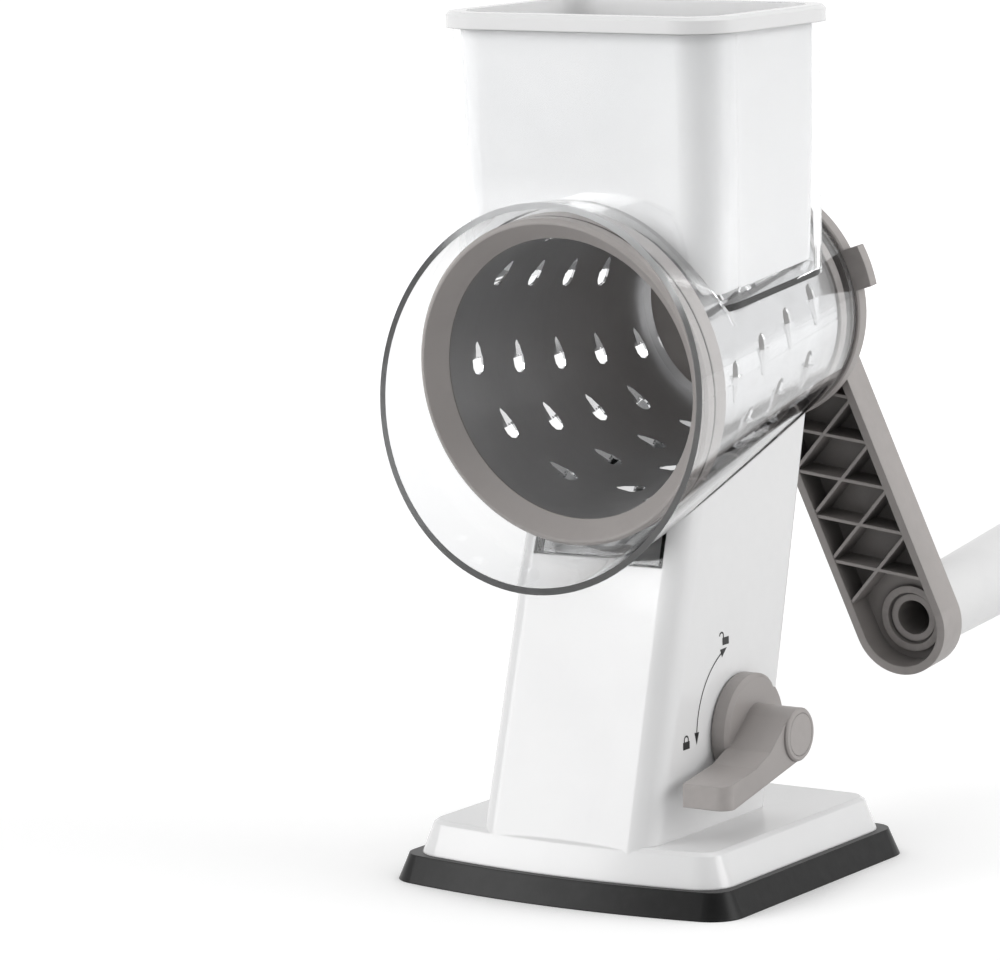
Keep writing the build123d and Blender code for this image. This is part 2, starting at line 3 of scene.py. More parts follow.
from __future__ import annotations

import logging
import math
from dataclasses import dataclass, field
from enum import Enum

import bmesh
import bpy
from mathutils import Matrix, Vector


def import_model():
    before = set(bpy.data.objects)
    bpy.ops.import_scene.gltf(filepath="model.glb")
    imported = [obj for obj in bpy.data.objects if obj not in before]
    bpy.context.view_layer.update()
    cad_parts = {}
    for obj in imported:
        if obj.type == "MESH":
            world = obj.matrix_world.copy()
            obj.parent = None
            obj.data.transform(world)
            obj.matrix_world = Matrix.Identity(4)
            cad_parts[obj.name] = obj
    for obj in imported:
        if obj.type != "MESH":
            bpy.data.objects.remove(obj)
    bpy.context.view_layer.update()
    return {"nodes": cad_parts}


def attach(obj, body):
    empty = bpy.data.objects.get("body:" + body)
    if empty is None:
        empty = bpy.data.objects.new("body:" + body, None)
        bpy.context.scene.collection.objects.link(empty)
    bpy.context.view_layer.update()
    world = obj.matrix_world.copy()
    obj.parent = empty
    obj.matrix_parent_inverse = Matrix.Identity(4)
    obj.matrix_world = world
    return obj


LOG = logging.getLogger("rotary_shredder")
Colour = tuple[float, float, float]
Point = tuple[float, float]
Place = tuple[float, float, float]


class ArrowWay(Enum):
    """Side of a curved line that its arrowhead points to."""

    LEVER_DOWN = 1
    LEVER_UP = -1


@dataclass(frozen=True)
class DrumLine:
    """The tilted axis that the drum, barrel, rear cap and crank share."""

    tilt_degrees: float = 6.23
    rim_centre: Place = (0.0, -0.0504, 0.1749)

    def along(self) -> Vector:
        """Unit vector from the drum's mouth to its rear."""
        tilt = math.radians(self.tilt_degrees)
        return Vector((0.0, math.cos(tilt), math.sin(tilt)))


DRUM_LINE = DrumLine()


# ---------------------------------------------------------------- node helpers
class NodeSheet:
    """Thin helper round a node tree that adds and links nodes by name."""

    def __init__(self, tree: bpy.types.NodeTree) -> None:
        """Keeps the tree.

        Args:
            tree: The material, world or group tree to fill.
        """
        self.tree = tree
        self.nodes = tree.nodes
        self.nodes.clear()
        self.column = 0

    def add(self, kind: str, **values: object) -> bpy.types.Node:
        """Adds a node and sets its properties.

        Args:
            kind: Blender's node type name.
            **values: Properties of the node.

        Returns:
            The new node.
        """
        node = self.nodes.new(kind)
        node.location = (self.column * 180, 0)
        self.column += 1
        for name, value in values.items():
            setattr(node, name, value)
        return node

    def link(self, source: bpy.types.NodeSocket, target: bpy.types.NodeSocket) -> None:
        """Links one socket to another."""
        self.tree.links.new(source, target)

    def feed(self, value: object, target: bpy.types.NodeSocket) -> None:
        """Links a socket to an input, or sets the input to a number or a colour.

        Args:
            value: A socket, a number or a colour.
            target: The input.
        """
        if isinstance(value, bpy.types.NodeSocket):
            self.link(value, target)
        elif isinstance(value, tuple):
            target.default_value = (*value, 1.0)
        else:
            target.default_value = value

    def vector(self, operation: str, first: object, second: object = None) -> bpy.types.Node:
        """Adds a Vector Math node.

        Args:
            operation: The operation's name.
            first: A socket or a vector.
            second: A socket or a vector, for operations on two vectors.

        Returns:
            The node, because its result is a vector or a number.
        """
        node = self.add("ShaderNodeVectorMath", operation=operation)
        for index, value in enumerate((first, second)):
            if isinstance(value, bpy.types.NodeSocket):
                self.link(value, node.inputs[index])
            elif value is not None:
                node.inputs[index].default_value = value
        return node

    def maths(
        self, operation: str, first: object, second: object = 0.5, clamp: bool = False
    ) -> bpy.types.NodeSocket:
        """Adds a Math node.

        Args:
            operation: The operation's name.
            first: A socket or a number.
            second: A socket or a number.
            clamp: Whether the result is held between 0 and 1.

        Returns:
            The node's output socket.
        """
        node = self.add("ShaderNodeMath", operation=operation, use_clamp=clamp)
        self.feed(first, node.inputs[0])
        self.feed(second, node.inputs[1])
        return node.outputs[0]

    def spread(
        self, value: bpy.types.NodeSocket, low: float, high: float, to_low: float, to_high: float
    ) -> bpy.types.NodeSocket:
        """Maps a value from one range to another, smoothly and clamped.

        Args:
            value: Socket to map.
            low: Lower end of the incoming range.
            high: Upper end of the incoming range.
            to_low: Result at the lower end.
            to_high: Result at the upper end.

        Returns:
            The mapped socket.
        """
        node = self.add("ShaderNodeMapRange", interpolation_type="SMOOTHSTEP")
        self.link(value, node.inputs["Value"])
        node.inputs["From Min"].default_value = low
        node.inputs["From Max"].default_value = high
        node.inputs["To Min"].default_value = to_low
        node.inputs["To Max"].default_value = to_high
        return node.outputs["Result"]

    def colour_mix(
        self, factor: object, first: object, second: object, blend: str = "MIX"
    ) -> bpy.types.NodeSocket:
        """Mixes two colours.

        Args:
            factor: A socket or a number.
            first: A socket or a colour.
            second: A socket or a colour.
            blend: Blend type.

        Returns:
            The mixed colour socket.
        """
        node = self.add("ShaderNodeMix", data_type="RGBA", blend_type=blend)
        self.feed(factor, node.inputs[0])
        self.feed(first, node.inputs[6])
        self.feed(second, node.inputs[7])
        return node.outputs[2]


class SurfaceEffects:
    """Shader node groups that several finishes share."""

    turning_stretch: Place = (9.0, 2200.0, 9.0)

    def __init__(self) -> None:
        """Builds each group once."""
        self.grain = self._moulded_grain()
        self.handling = self._handling_marks()
        self.edges = self._edge_wear()
        self.drum_sides = self._drum_sides()

    @staticmethod
    def _group(
        name: str, inputs: dict[str, float], outputs: tuple[str, ...]
    ) -> tuple[bpy.types.NodeTree, NodeSheet]:
        """Makes an empty group with float inputs and outputs.

        Args:
            name: Name of the group.
            inputs: Input names with their default values.
            outputs: Output names.

        Returns:
            The group tree and its node helper.
        """
        tree = bpy.data.node_groups.new(name, "ShaderNodeTree")
        for label, value in inputs.items():
            socket = tree.interface.new_socket(label, in_out="INPUT", socket_type="NodeSocketFloat")
            socket.default_value = value
        for label in outputs:
            tree.interface.new_socket(label, in_out="OUTPUT", socket_type="NodeSocketFloat")
        return tree, NodeSheet(tree)

    def _moulded_grain(self) -> bpy.types.NodeTree:
        """Fine spark-eroded grain of moulded plastic with broad waves, as a height."""
        tree, sheet = self._group("MouldedGrain", {"Scale": 900.0, "Waves": 0.35}, ("Height",))
        source = sheet.add("NodeGroupInput")
        place = sheet.add("ShaderNodeTexCoord")
        fine = sheet.add("ShaderNodeTexNoise")
        fine.inputs["Detail"].default_value = 3.0
        sheet.link(place.outputs["Object"], fine.inputs["Vector"])
        sheet.link(source.outputs["Scale"], fine.inputs["Scale"])
        broad = sheet.add("ShaderNodeTexNoise")
        broad.inputs["Scale"].default_value = 22.0
        broad.inputs["Detail"].default_value = 2.0
        sheet.link(place.outputs["Object"], broad.inputs["Vector"])
        waves = sheet.maths("MULTIPLY", broad.outputs["Fac"], source.outputs["Waves"])
        height = sheet.maths("ADD", fine.outputs["Fac"], waves)
        result = sheet.add("NodeGroupOutput")
        sheet.link(height, result.inputs["Height"])
        return tree

    def _handling_marks(self) -> bpy.types.NodeTree:
        """Soft uneven film that handling leaves, as a mask from 0 to 1."""
        tree, sheet = self._group("HandlingMarks", {"Scale": 30.0, "Amount": 1.0}, ("Mask",))
        source = sheet.add("NodeGroupInput")
        place = sheet.add("ShaderNodeTexCoord")
        cloud = sheet.add("ShaderNodeTexNoise")
        cloud.inputs["Detail"].default_value = 6.0
        cloud.inputs["Roughness"].default_value = 0.62
        cloud.inputs["Distortion"].default_value = 0.4
        sheet.link(place.outputs["Object"], cloud.inputs["Vector"])
        sheet.link(source.outputs["Scale"], cloud.inputs["Scale"])
        soft = sheet.spread(cloud.outputs["Fac"], 0.38, 0.72, 0.0, 1.0)
        result = sheet.add("NodeGroupOutput")
        sheet.link(sheet.maths("MULTIPLY", soft, source.outputs["Amount"]), result.inputs["Mask"])
        return tree

    def _edge_wear(self) -> bpy.types.NodeTree:
        """Mask of the part's outer edges, broken up by noise."""
        tree, sheet = self._group("EdgeWear", {"Scale": 240.0, "Amount": 1.0}, ("Mask",))
        source = sheet.add("NodeGroupInput")
        shape = sheet.add("ShaderNodeNewGeometry")
        place = sheet.add("ShaderNodeTexCoord")
        chips = sheet.add("ShaderNodeTexNoise")
        chips.inputs["Detail"].default_value = 4.0
        sheet.link(place.outputs["Object"], chips.inputs["Vector"])
        sheet.link(source.outputs["Scale"], chips.inputs["Scale"])
        ridge = sheet.spread(shape.outputs["Pointiness"], 0.52, 0.62, 0.0, 1.0)
        broken = sheet.maths("MULTIPLY", ridge, chips.outputs["Fac"])
        worn = sheet.maths("MULTIPLY", broken, source.outputs["Amount"], clamp=True)
        result = sheet.add("NodeGroupOutput")
        sheet.link(worn, result.inputs["Mask"])
        return tree

    def _drum_sides(self) -> bpy.types.NodeTree:
        """Mask of the drum's inside, depth behind the rim's front, and fine turning lines."""
        tree, sheet = self._group("DrumSides", {}, ("Inside", "Depth", "Lines"))
        place = sheet.add("ShaderNodeTexCoord")
        shape = sheet.add("ShaderNodeNewGeometry")
        own = sheet.add(
            "ShaderNodeVectorTransform", vector_type="NORMAL", convert_from="WORLD", convert_to="OBJECT"
        )
        sheet.link(shape.outputs["True Normal"], own.inputs["Vector"])
        offset = sheet.vector("SUBTRACT", place.outputs["Object"], DRUM_LINE.rim_centre)
        along = sheet.vector("DOT_PRODUCT", offset.outputs["Vector"], DRUM_LINE.along())
        on_axis = sheet.vector("SCALE", DRUM_LINE.along())
        sheet.link(along.outputs["Value"], on_axis.inputs["Scale"])
        radial = sheet.vector("SUBTRACT", offset.outputs["Vector"], on_axis.outputs["Vector"])
        spoke = sheet.vector("NORMALIZE", radial.outputs["Vector"])
        facing = sheet.vector("DOT_PRODUCT", spoke.outputs["Vector"], own.outputs["Vector"])
        inside = sheet.spread(facing.outputs["Value"], -0.93, -0.7, 1.0, 0.0)
        stretch = sheet.vector("MULTIPLY", place.outputs["Object"], self.turning_stretch)
        lines = sheet.add("ShaderNodeTexNoise")
        lines.inputs["Scale"].default_value = 1.0
        lines.inputs["Detail"].default_value = 3.0
        sheet.link(stretch.outputs["Vector"], lines.inputs["Vector"])
        result = sheet.add("NodeGroupOutput")
        sheet.link(inside, result.inputs["Inside"])
        sheet.link(along.outputs["Value"], result.inputs["Depth"])
        sheet.link(lines.outputs["Fac"], result.inputs["Lines"])
        return tree


@dataclass(frozen=True)
class MouldedPlastic:
    """Opaque moulded plastic with grain, a handled film, softened edges and, where asked, painted shade
    in its crevices.
    """

    name: str
    colour: Colour
    shade: Colour
    worn: Colour
    roughness: float
    grain_height: float = 0.02
    edge_radius: float = 0.0006
    coat: float = 0.0
    gloss: float = 0.5
    # Painted shade: reach and darkest tone of the ambient-occlusion darkening in crevices.
    painted_crevice_shade_reach: float = 0.0
    painted_crevice_shade_tone: float = 0.4

    def build(self, effects: SurfaceEffects) -> bpy.types.Material:
        """Makes the material.

        Args:
            effects: Shared node groups.

        Returns:
            The finished material.
        """
        material = bpy.data.materials.new(self.name)
        material.use_nodes = True
        sheet = NodeSheet(material.node_tree)
        surface = sheet.add("ShaderNodeBsdfPrincipled")
        result = sheet.add("ShaderNodeOutputMaterial")
        sheet.link(surface.outputs[0], result.inputs["Surface"])
        grain = sheet.add("ShaderNodeGroup", node_tree=effects.grain)
        film = sheet.add("ShaderNodeGroup", node_tree=effects.handling)
        edges = sheet.add("ShaderNodeGroup", node_tree=effects.edges)
        edges.inputs["Amount"].default_value = 0.6
        tone = sheet.colour_mix(film.outputs["Mask"], self.colour, self.shade)
        tone = sheet.colour_mix(edges.outputs["Mask"], tone, self.worn)
        # Painted shade: ambient occlusion darkens the colour in pockets, bores and creases.
        if self.painted_crevice_shade_reach > 0.0:
            painted_crevice_shade_ao = sheet.add("ShaderNodeAmbientOcclusion", samples=6)
            painted_crevice_shade_ao.inputs["Distance"].default_value = self.painted_crevice_shade_reach
            shade = sheet.spread(painted_crevice_shade_ao.outputs["AO"], 0.15, 0.75, self.painted_crevice_shade_tone, 1.0)
            tone = sheet.colour_mix(1.0, tone, shade, "MULTIPLY")
        sheet.link(tone, surface.inputs["Base Color"])
        rough = sheet.spread(film.outputs["Mask"], 0.0, 1.0, self.roughness * 0.96, self.roughness * 1.08)
        sheet.link(rough, surface.inputs["Roughness"])
        bump = sheet.add("ShaderNodeBump")
        bump.inputs["Strength"].default_value = self.grain_height
        bump.inputs["Distance"].default_value = 0.0004
        rounded = sheet.add("ShaderNodeBevel", samples=4)
        rounded.inputs["Radius"].default_value = self.edge_radius
        sheet.link(grain.outputs["Height"], bump.inputs["Height"])
        sheet.link(rounded.outputs["Normal"], bump.inputs["Normal"])
        sheet.link(bump.outputs["Normal"], surface.inputs["Normal"])
        surface.inputs["IOR"].default_value = 1.5
        surface.inputs["Specular IOR Level"].default_value = self.gloss
        surface.inputs["Coat Weight"].default_value = self.coat
        surface.inputs["Coat Roughness"].default_value = 0.08
        return material


@dataclass(frozen=True)
class PolishedSteel:
    """Stainless sheet, polished outside and satin inside, with faint turning lines round the drum; the
    inside is painted darker, with painted shade deepening toward the rear.
    """

    name: str = "Polished_Steel"
    outer: Colour = (0.74, 0.74, 0.745)
    # Painted shade: the inside is darker than the outside and darkest at the rear.
    inner_front: Colour = (0.70, 0.70, 0.703)
    inner_rear_painted_shade: Colour = (0.58, 0.58, 0.583)
    film: Colour = (0.3, 0.3, 0.3)
    film_share: float = 0.12
    outer_roughness: float = 0.14
    inner_roughness: float = 0.42
    length: float = 0.12

    def build(self, effects: SurfaceEffects) -> bpy.types.Material:
        """Makes the material.

        Args:
            effects: Shared node groups.

        Returns:
            The finished material.
        """
        material = bpy.data.materials.new(self.name)
        material.use_nodes = True
        sheet = NodeSheet(material.node_tree)
        surface = sheet.add("ShaderNodeBsdfPrincipled")
        result = sheet.add("ShaderNodeOutputMaterial")
        sheet.link(surface.outputs[0], result.inputs["Surface"])
        drum = sheet.add("ShaderNodeGroup", node_tree=effects.drum_sides)
        film = sheet.add("ShaderNodeGroup", node_tree=effects.handling)
        film.inputs["Scale"].default_value = 26.0
        # Painted shade: the inside colour darkens from the rim toward the rear of the drum.
        depth = sheet.spread(drum.outputs["Depth"], 0.0, self.length, 0.0, 1.0)
        inner = sheet.colour_mix(depth, self.inner_front, self.inner_rear_painted_shade)
        tone = sheet.colour_mix(drum.outputs["Inside"], self.outer, inner)
        dulled = sheet.maths("MULTIPLY", film.outputs["Mask"], self.film_share)
        tone = sheet.colour_mix(dulled, tone, self.film)
        sheet.link(tone, surface.inputs["Base Color"])
        rough = sheet.spread(drum.outputs["Inside"], 0.0, 1.0, self.outer_roughness, self.inner_roughness)
        lines = sheet.spread(drum.outputs["Lines"], 0.3, 0.7, 0.9, 1.12)
        sheet.link(sheet.maths("MULTIPLY", rough, lines), surface.inputs["Roughness"])
        bump = sheet.add("ShaderNodeBump")
        bump.inputs["Strength"].default_value = 0.03
        bump.inputs["Distance"].default_value = 0.0001
        sheet.link(drum.outputs["Lines"], bump.inputs["Height"])
        sheet.link(bump.outputs["Normal"], surface.inputs["Normal"])
        surface.inputs["Metallic"].default_value = 1.0
        return material


@dataclass(frozen=True)
class ClearPlastic:
    """Clear moulded plastic with faint flow waves and a matt end face round the mouth, tinted grey as
    painted shade.
    """

    name: str = "Clear_Plastic"
    colour: Colour = (0.975, 0.979, 0.983)
    shade: Colour = (0.955, 0.961, 0.966)
    # Painted shade: grey tint of the mouth's end face.
    end_face_painted_shade: Colour = (0.62, 0.63, 0.635)
    roughness: float = 0.015
    edge_roughness: float = 0.75
    bending: float = 1.47
    mouth_lean_degrees: float = 6.09

    def build(self, effects: SurfaceEffects) -> bpy.types.Material:
        """Makes the material.

        Args:
            effects: Shared node groups.

        Returns:
            The finished material.
        """
        material = bpy.data.materials.new(self.name)
        material.use_nodes = True
        sheet = NodeSheet(material.node_tree)
        surface = sheet.add("ShaderNodeBsdfPrincipled")
        result = sheet.add("ShaderNodeOutputMaterial")
        sheet.link(surface.outputs[0], result.inputs["Surface"])
        film = sheet.add("ShaderNodeGroup", node_tree=effects.handling)
        film.inputs["Scale"].default_value = 18.0
        shape = sheet.add("ShaderNodeNewGeometry")
        lean = math.radians(self.mouth_lean_degrees)
        mouth_way = (0.0, -math.cos(lean), math.sin(lean))
        facing = sheet.vector("DOT_PRODUCT", shape.outputs["True Normal"], mouth_way)
        turned = sheet.maths("ABSOLUTE", facing.outputs["Value"])
        end_face = sheet.maths("GREATER_THAN", turned, 0.9995)
        tone = sheet.colour_mix(film.outputs["Mask"], self.colour, self.shade)
        # Painted shade on the end face: its grey tint; the matt roughness is the finish.
        sheet.link(sheet.colour_mix(end_face, tone, self.end_face_painted_shade), surface.inputs["Base Color"])
        rough = sheet.spread(film.outputs["Mask"], 0.0, 1.0, self.roughness * 0.6, self.roughness * 1.6)
        matt = sheet.maths("MULTIPLY", end_face, self.edge_roughness)
        sheet.link(sheet.maths("MAXIMUM", rough, matt), surface.inputs["Roughness"])
        surface.inputs["Metallic"].default_value = 0.0
        surface.inputs["Transmission Weight"].default_value = 1.0
        surface.inputs["IOR"].default_value = self.bending
        return material


class Finishes:
    """Every finish of the machine, built once."""

    def __init__(self) -> None:
        """Builds the shared groups and the materials."""
        effects = SurfaceEffects()
        self.white = MouldedPlastic(
            name="White_Gloss_Plastic",
            colour=(0.84, 0.84, 0.842),
            shade=(0.825, 0.825, 0.828),
            worn=(0.88, 0.88, 0.88),
            roughness=0.22,
            grain_height=0.012,
            edge_radius=0.0008,
            coat=0.1,
        ).build(effects)
        self.grip = MouldedPlastic(
            name="White_Grip_Plastic",
            colour=(0.84, 0.84, 0.84),
            shade=(0.81, 0.81, 0.812),
            worn=(0.88, 0.88, 0.88),
            roughness=0.3,
            grain_height=0.03,
        ).build(effects)
        self.grey = MouldedPlastic(
            name="Warm_Grey_Plastic",
            colour=(0.37, 0.345, 0.334),
            shade=(0.345, 0.322, 0.312),
            worn=(0.48, 0.45, 0.436),
            roughness=0.4,
            grain_height=0.05,
            # Painted shade in the grey's pockets and bore.
            painted_crevice_shade_reach=0.014,
        ).build(effects)
        self.rubber = MouldedPlastic(
            name="Black_Rubber",
            colour=(0.006, 0.006, 0.0062),
            shade=(0.009, 0.009, 0.0092),
            worn=(0.03, 0.03, 0.03),
            roughness=0.34,
            grain_height=0.05,
            gloss=0.16,
        ).build(effects)
        self.ink = MouldedPlastic(
            name="Black_Ink",
            colour=(0.012, 0.012, 0.012),
            shade=(0.02, 0.02, 0.02),
            worn=(0.03, 0.03, 0.03),
            roughness=0.5,
            grain_height=0.02,
        ).build(effects)
        self.steel = PolishedSteel().build(effects)
        self.clear = ClearPlastic().build(effects)


# ---------------------------------------------------------------- mesh helpers
def smooth_by_angle(piece: bpy.types.Object, degrees: float = 32.0) -> None:
    """Shades a piece smooth and keeps edges sharper than an angle crisp.

    Args:
        piece: Mesh object to shade.
        degrees: Edges bent more than this stay sharp.
    """
    mesh = piece.data
    mesh.polygons.foreach_set("use_smooth", [True] * len(mesh.polygons))
    mesh.set_sharp_from_angle(angle=math.radians(degrees))
    mesh.update()


def dress(piece: bpy.types.Object, material: bpy.types.Material) -> None:
    """Gives every material slot of a piece one finish.

    Args:
        piece: Mesh object to dress.
        material: The finish.
    """
    if not piece.material_slots:
        piece.data.materials.append(material)
    for slot in piece.material_slots:
        slot.material = material


def mesh_piece(
    name: str, mesh: bmesh.types.BMesh, material: bpy.types.Material, body: str
) -> bpy.types.Object:
    """Turns a bmesh into a piece that rides on a body.

    Args:
        name: Piece name.
        mesh: Filled bmesh, freed here.
        material: The finish.
        body: Body that carries the piece.

    Returns:
        The new object.
    """
    bmesh.ops.recalc_face_normals(mesh, faces=mesh.faces)
    data = bpy.data.meshes.new(name)
    mesh.to_mesh(data)
    mesh.free()
    piece = bpy.data.objects.new(name, data)
    bpy.context.scene.collection.objects.link(piece)
    data.materials.append(material)
    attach(piece, body)
    LOG.info("piece %s rides on %s", name, body)
    return piece


# ---------------------------------------------------------------- sub-assemblies
@dataclass
class SubAssembly:
    """Base of every sub-assembly: the carried-over nodes and the finishes."""

    nodes: dict[str, bpy.types.Object]
    finishes: Finishes

    def dress_nodes(self, material: bpy.types.Material, *names: str) -> None:
        """Dresses carried-over nodes.

        Args:
            material: The finish.
            *names: Node names.
        """
        for name in names:
            piece = self.nodes[name]
            smooth_by_angle(piece)
            dress(piece, material)
            LOG.info("node %s dressed in %s", name, material.name)


@dataclass
class LockMarks(SubAssembly):
    """Flat lock signs and the curved arrow on the right face of the tower."""

    lever_centre: Point = (0.0085, 0.0515)
    arc_radius: float = 0.0303
    arc_start: float = 177.5
    arc_end: float = 113.0
    line_width: float = 0.0005
    arrow_length: float = 0.0042
    arrow_width: float = 0.003
    closed_lock: Point = (-0.0285, 0.0512)
    open_lock: Point = (-0.0017, 0.0827)
    lock_width: float = 0.0042
    lock_height: float = 0.0026
    shackle_height: float = 0.0019
    shackle_reach: float = 0.3
    shackle_leg: float = 0.4
    open_shift: float = 0.62
    shackle_line: float = 0.14
    arc_steps: int = 30
    face_foot: float = 0.0345
    face_foot_height: float = 0.0205
    face_lean: float = -0.00789
    proud: float = 0.00006
    outlines: list[list[Point]] = field(default_factory=list)

    def on_face(self, y: float, z: float) -> Vector:
        """Point just proud of the tower's right face."""
        face = self.face_foot + self.face_lean * (z - self.face_foot_height)
        return Vector((face + self.proud, y, z))

    def arc_point(self, turn: float) -> Point:
        """Point of the arc round the lever's axis, at an angle from +Y toward up."""
        angle = math.radians(turn)
        y, z = self.lever_centre
        return (y + self.arc_radius * math.cos(angle), z + self.arc_radius * math.sin(angle))

    def strip(self, line: list[Point], width: float) -> None:
        """Adds a flat strip along a line of points.

        Args:
            line: Points as (y, z).
            width: Width of the strip.
        """
        left: list[Point] = []
        right: list[Point] = []
        for index, (y, z) in enumerate(line):
            before = line[max(index - 1, 0)]
            after = line[min(index + 1, len(line) - 1)]
            run = Vector((after[0] - before[0], after[1] - before[1])).normalized()
            left.append((y - run.y * width / 2, z + run.x * width / 2))
            right.append((y + run.y * width / 2, z - run.x * width / 2))
        for index in range(len(line) - 1):
            self.outlines.append([left[index], left[index + 1], right[index + 1], right[index]])

    def arrow(self, turn: float, way: ArrowWay) -> None:
        """Adds an arrowhead at one end of the arc.

        Args:
            turn: Angle of the end of the arc.
            way: The side of the arc the head points to.
        """
        end = Vector(self.arc_point(turn))
        angle = math.radians(turn)
        run = Vector((-math.sin(angle), math.cos(angle))) * way.value
        side = Vector((math.cos(angle), math.sin(angle)))
        tip = end + run * self.arrow_length * 0.6
        foot = end - run * self.arrow_length * 0.4
        half = side * self.arrow_width / 2
        self.outlines.append([tuple(tip), tuple(foot + half), tuple(foot - half)])

    def padlock(self, centre: Point, is_open: bool) -> None:
        """Adds a padlock pictogram.

        Args:
            centre: Middle of the lock's block as (y, z).
            is_open: Whether the shackle stands open.
        """
        y, z = centre
        half_width = self.lock_width / 2
        half_height = self.lock_height / 2
        self.outlines.append(
            [
                (y - half_width, z - half_height),
                (y + half_width, z - half_height),
                (y + half_width, z + half_height),
                (y - half_width, z + half_height),
            ]
        )
        reach = self.lock_width * self.shackle_reach
        rise = self.shackle_height * (1 - self.shackle_leg)
        foot = z + half_height + self.shackle_height * self.shackle_leg
        middle = y - self.lock_width * self.open_shift if is_open else y
        turns = [math.radians(turn) for turn in range(0, 181, 20)]
        arch = [(middle + reach * math.cos(turn), foot + rise * math.sin(turn)) for turn in turns]
        legs = [(middle + reach, z + half_height), *arch]
        if not is_open:
            legs.append((middle - reach, z + half_height))
        self.strip(legs, self.lock_width * self.shackle_line)

    def build(self) -> None:
        """Makes the signs as one thin piece."""
        step = (self.arc_end - self.arc_start) / self.arc_steps
        turns = [self.arc_start + step * index for index in range(self.arc_steps + 1)]
        self.strip([self.arc_point(turn) for turn in turns], self.line_width)
        self.arrow(self.arc_start, ArrowWay.LEVER_DOWN)
        self.arrow(self.arc_end, ArrowWay.LEVER_UP)
        self.padlock(self.closed_lock, False)
        self.padlock(self.open_lock, True)
        mesh = bmesh.new()
        for outline in self.outlines:
            mesh.faces.new([mesh.verts.new(self.on_face(y, z)) for y, z in outline])
        mesh_piece("lock_marks", mesh, self.finishes.ink, "stand")


@dataclass
class Stand(SubAssembly):
    """White tower and plate on the black suction skirt."""

    def build(self) -> None:
        """Dresses the stand's nodes."""
        self.dress_nodes(self.finishes.white, "stand_shell", "bottom_cover", "cam_bracket")
        self.dress_nodes(self.finishes.rubber, "suction_skirt", "suction_membrane")
        self.dress_nodes(self.finishes.grey, "stem_yoke")


@dataclass
class SuctionLever(SubAssembly):
    """Grey dial lever with its cap and cam."""

    def build(self) -> None:
        """Dresses the lever's nodes."""
        self.dress_nodes(self.finishes.grey, "lever_handle", "lever_cap", "lever_cam")


@dataclass
class Housing(SubAssembly):
    """Clear barrel and chute with the grey cap behind."""

    def build(self) -> None:
        """Dresses the housing's nodes."""
        self.dress_nodes(self.finishes.clear, "clear_housing")
        self.nodes["clear_housing"].visible_shadow = False
        self.dress_nodes(self.finishes.grey, "bearing_cap")


@dataclass
class Crank(SubAssembly):
    """Grey crank arm with its white grip."""

    def build(self) -> None:
        """Dresses the crank's nodes."""
        self.dress_nodes(self.finishes.grey, "crank_arm", "hub_cover", "grip_axle")
        self.dress_nodes(self.finishes.grip, "handle_grip", "grip_cap")


@dataclass
class Drum(SubAssembly):
    """Steel drum with its grey rim and hub."""

    def build(self) -> None:
        """Dresses the drum's nodes."""
        self.dress_nodes(self.finishes.steel, "drum_cone")
        self.dress_nodes(self.finishes.grey, "drum_rim", "drum_hub")


@dataclass
class FoodPusher(SubAssembly):
    """White pusher in the chute."""

    def build(self) -> None:
        """Dresses the pusher."""
        self.dress_nodes(self.finishes.white, "pusher")


# ---------------------------------------------------------------- studio
@dataclass(frozen=True)
class SoftLamp:
    """Soft square lamp aimed at the middle of the machine."""

    name: str
    place: Place
    side: float
    watts: float
    aim: Place = (0.0, 0.0, 0.15)

    def build(self) -> None:
        """Makes the lamp."""
        data = bpy.data.lights.new(self.name, "AREA")
        data.shape = "SQUARE"
        data.size = self.side
        data.energy = self.watts
        lamp = bpy.data.objects.new(self.name, data)
        bpy.context.scene.collection.objects.link(lamp)
        lamp.location = self.place
        lamp.rotation_mode = "QUATERNION"
        lamp.rotation_quaternion = (Vector(self.aim) - Vector(self.place)).to_track_quat("-Z", "Y")


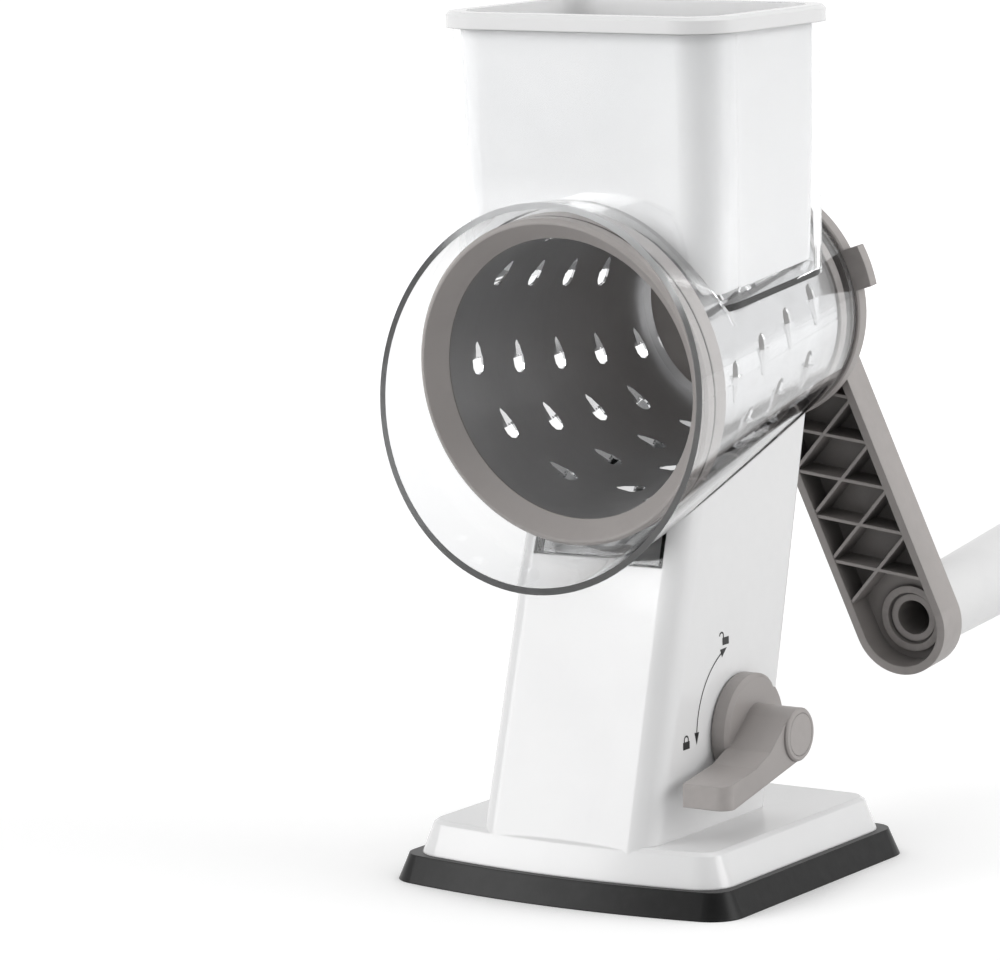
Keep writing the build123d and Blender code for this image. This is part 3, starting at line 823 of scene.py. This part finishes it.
@dataclass
class Studio:
    """Floor, world, lamps and the camera of the photograph."""

    camera_place: Place = (0.936654, -1.494729, 0.410325)
    azimuth: float = 33.6378
    elevation: float = 8.8321
    roll: float = -1.1487
    focal_mm: float = 187.741
    floor_size: float = 12.0
    ambient: float = 0.5
    near_glow: float = 0.46
    far_glow: float = 0.78
    floor_colour: Colour = (0.66, 0.66, 0.66)
    # Painted shadow: reach of the ambient occlusion that dims the floor near the machine.
    painted_contact_shadow_reach: float = 0.05
    white: Colour = (1.0, 1.0, 1.0)
    dark: Colour = (0.3, 0.3, 0.3)
    dark_side: Place = (0.55, -0.83, 0.05)
    lamps: tuple[SoftLamp, ...] = (
        SoftLamp("Key_Lamp", (-1.5, -1.7, 0.9), 1.3, 25.0),
        SoftLamp("Fill_Lamp", (2.1, 0.7, 0.9), 1.3, 20.0),
        SoftLamp("Top_Lamp", (0.2, 0.6, 2.2), 1.6, 9.0),
    )

    def camera(self) -> None:
        """Makes the camera with its roll."""
        turn, lift, roll = (math.radians(value) for value in (self.azimuth, self.elevation, self.roll))
        back = Vector((math.sin(turn) * math.cos(lift), -math.cos(turn) * math.cos(lift), math.sin(lift)))
        level = Vector((math.cos(turn), math.sin(turn), 0.0))
        upright = back.cross(level)
        right = level * math.cos(roll) + upright * math.sin(roll)
        top = upright * math.cos(roll) - level * math.sin(roll)
        data = bpy.data.cameras.new("Photo_Camera")
        data.lens = self.focal_mm
        data.sensor_width = 36.0
        data.clip_start = 0.05
        data.clip_end = 100.0
        view = bpy.data.objects.new("Photo_Camera", data)
        bpy.context.scene.collection.objects.link(view)
        turned = Matrix((right, top, back)).transposed().to_4x4()
        view.matrix_world = Matrix.Translation(Vector(self.camera_place)) @ turned
        bpy.context.scene.camera = view

    @staticmethod
    def seen_directly(sheet: NodeSheet) -> bpy.types.NodeSocket:
        """Mask of rays from the camera, from gloss and through glass, but not from matt light.

        Args:
            sheet: Helper of the tree that needs the mask.

        Returns:
            A socket that is 0 or 1.
        """
        path = sheet.add("ShaderNodeLightPath")
        seen = sheet.maths("MAXIMUM", path.outputs["Is Camera Ray"], path.outputs["Is Glossy Ray"])
        seen = sheet.maths("MAXIMUM", seen, path.outputs["Is Transmission Ray"])
        direct = sheet.maths("LESS_THAN", path.outputs["Diffuse Depth"], 0.5)
        return sheet.maths("MULTIPLY", seen, direct)

    def world(self) -> None:
        """Lights evenly and shows white; gloss also meets the unlit side of the studio."""
        world = bpy.data.worlds.new("Studio_World")
        bpy.context.scene.world = world
        world.use_nodes = True
        sheet = NodeSheet(world.node_tree)
        seen = self.seen_directly(sheet)
        path = sheet.add("ShaderNodeLightPath")
        place = sheet.add("ShaderNodeTexCoord")
        toward = sheet.vector("DOT_PRODUCT", place.outputs["Generated"], self.dark_side)
        unlit = sheet.spread(toward.outputs["Value"], 0.72, 0.93, 0.0, 1.0)
        unlit = sheet.maths("MULTIPLY", unlit, path.outputs["Is Glossy Ray"])
        shown = sheet.colour_mix(unlit, self.white, self.dark)
        tone = sheet.colour_mix(seen, (self.ambient,) * 3, shown)
        glow = sheet.add("ShaderNodeBackground")
        sheet.link(tone, glow.inputs["Color"])
        result = sheet.add("ShaderNodeOutputWorld")
        sheet.link(glow.outputs[0], result.inputs["Surface"])

    def floor(self) -> None:
        """Makes a white floor that keeps the object's shadow, plus a painted contact shadow round the
        machine.
        """
        material = bpy.data.materials.new("Studio_Floor")
        material.use_nodes = True
        sheet = NodeSheet(material.node_tree)
        seen = self.seen_directly(sheet)
        surface = sheet.add("ShaderNodeBsdfDiffuse")
        surface.inputs["Color"].default_value = (*self.floor_colour, 1.0)
        place = sheet.add("ShaderNodeTexCoord")
        away = sheet.vector("LENGTH", place.outputs["Object"])
        lift = sheet.spread(away.outputs["Value"], 0.2, 1.8, self.near_glow, self.far_glow)
        # Painted shadow: ambient occlusion dims the floor's glow where it meets the machine.
        painted_contact_shadow = sheet.add("ShaderNodeAmbientOcclusion", samples=8)
        painted_contact_shadow.inputs["Distance"].default_value = self.painted_contact_shadow_reach
        floor_outside_painted_shadow = sheet.spread(painted_contact_shadow.outputs["AO"], 0.45, 0.97, 0.0, 1.0)
        lift = sheet.maths("MULTIPLY", lift, floor_outside_painted_shadow)
        glow = sheet.add("ShaderNodeEmission")
        sheet.link(sheet.maths("MULTIPLY", seen, lift), glow.inputs["Strength"])
        both = sheet.add("ShaderNodeAddShader")
        sheet.link(surface.outputs[0], both.inputs[0])
        sheet.link(glow.outputs[0], both.inputs[1])
        result = sheet.add("ShaderNodeOutputMaterial")
        sheet.link(both.outputs[0], result.inputs["Surface"])
        mesh = bpy.data.meshes.new("studio_floor")
        half = self.floor_size / 2
        corners = [(-half, -half, 0.0), (half, -half, 0.0), (half, half, 0.0), (-half, half, 0.0)]
        mesh.from_pydata(corners, [], [(0, 1, 2, 3)])
        ground = bpy.data.objects.new("studio_floor", mesh)
        mesh.materials.append(material)
        bpy.context.scene.collection.objects.link(ground)

    def build(self) -> None:
        """Makes everything round the machine."""
        bpy.context.scene.view_settings.view_transform = "Standard"
        self.camera()
        self.world()
        self.floor()
        for lamp in self.lamps:
            lamp.build()


def main() -> None:
    """Builds the looks in order."""
    logging.basicConfig(level=logging.INFO, format="%(name)s: %(message)s")
    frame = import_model()
    nodes = frame["nodes"]
    finishes = Finishes()
    Studio().build()
    for part in (Stand, SuctionLever, Housing, Crank, Drum, FoodPusher, LockMarks):
        part(nodes, finishes).build()
        LOG.info("%s done", part.__name__)


if __name__ == "__main__":
    main()
